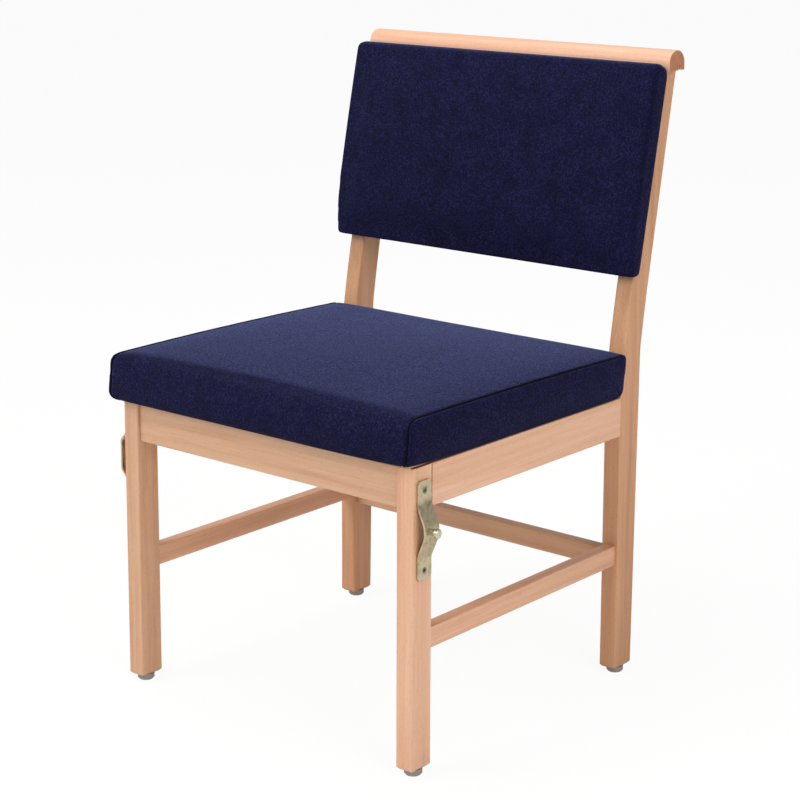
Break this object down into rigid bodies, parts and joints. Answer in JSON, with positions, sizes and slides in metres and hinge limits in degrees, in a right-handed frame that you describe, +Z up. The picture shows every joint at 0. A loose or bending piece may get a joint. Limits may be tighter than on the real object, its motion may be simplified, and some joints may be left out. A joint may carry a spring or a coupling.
{
  "type": "upholstered choir chair",
  "caption": "Beech choir chair with a box-edged padded seat and a padded back between raked uprights, round-topped top rail, low stretchers and steel linking brackets on the front legs.",
  "frame": {"origin": "on the floor, in the middle of the chair's plan", "axes": "+Z up; the sitter looks along -Y; +X is the sitter's left"},
  "size_m": [0.518, 0.552, 0.819],
  "materials": {
    "beech": "clear satin lacquer",
    "block_wood": "sawn, unfinished",
    "dowel_wood": "unfinished",
    "plywood": "sawn, unfinished",
    "cloth": "navy wool upholstery cloth",
    "foam": "cut polyurethane foam",
    "bracket_steel": "yellow zinc plate",
    "stud_steel": "bright zinc plate",
    "link_screw_steel": "zinc plate",
    "screw_steel": "zinc plate",
    "glide_plastic": "moulded grey plastic"
  },
  "bodies": {
    "root": {"front_leg_left": "beech", "front_leg_right": "beech", "back_leg_left": "beech", "back_leg_right": "beech", "front_seat_rail": "beech", "back_seat_rail": "beech", "side_seat_rail_left": "beech", "side_seat_rail_right": "beech", "side_stretcher_left": "beech", "side_stretcher_right": "beech", "back_stretcher": "beech", "top_rail": "beech", "corner_blocks": "block_wood", "corner_block_screws": "screw_steel", "seat_board_screws": "screw_steel", "seat_rail_dowels": "dowel_wood", "stretcher_dowels": "dowel_wood", "top_rail_dowels": "dowel_wood", "seat_board": "plywood", "seat_foam": "foam", "seat_cover": "cloth", "back_panel": "plywood", "back_foam": "foam", "back_cover": "cloth", "back_panel_screws": "screw_steel", "glide_front_left": "glide_plastic", "glide_front_right": "glide_plastic", "glide_back_left": "glide_plastic", "glide_back_right": "glide_plastic", "glide_nails": "screw_steel", "link_stud_bracket": "bracket_steel", "link_slot_bracket": "bracket_steel", "link_stud": "stud_steel", "link_screws": "link_screw_steel"}
  },
  "joints": []
}
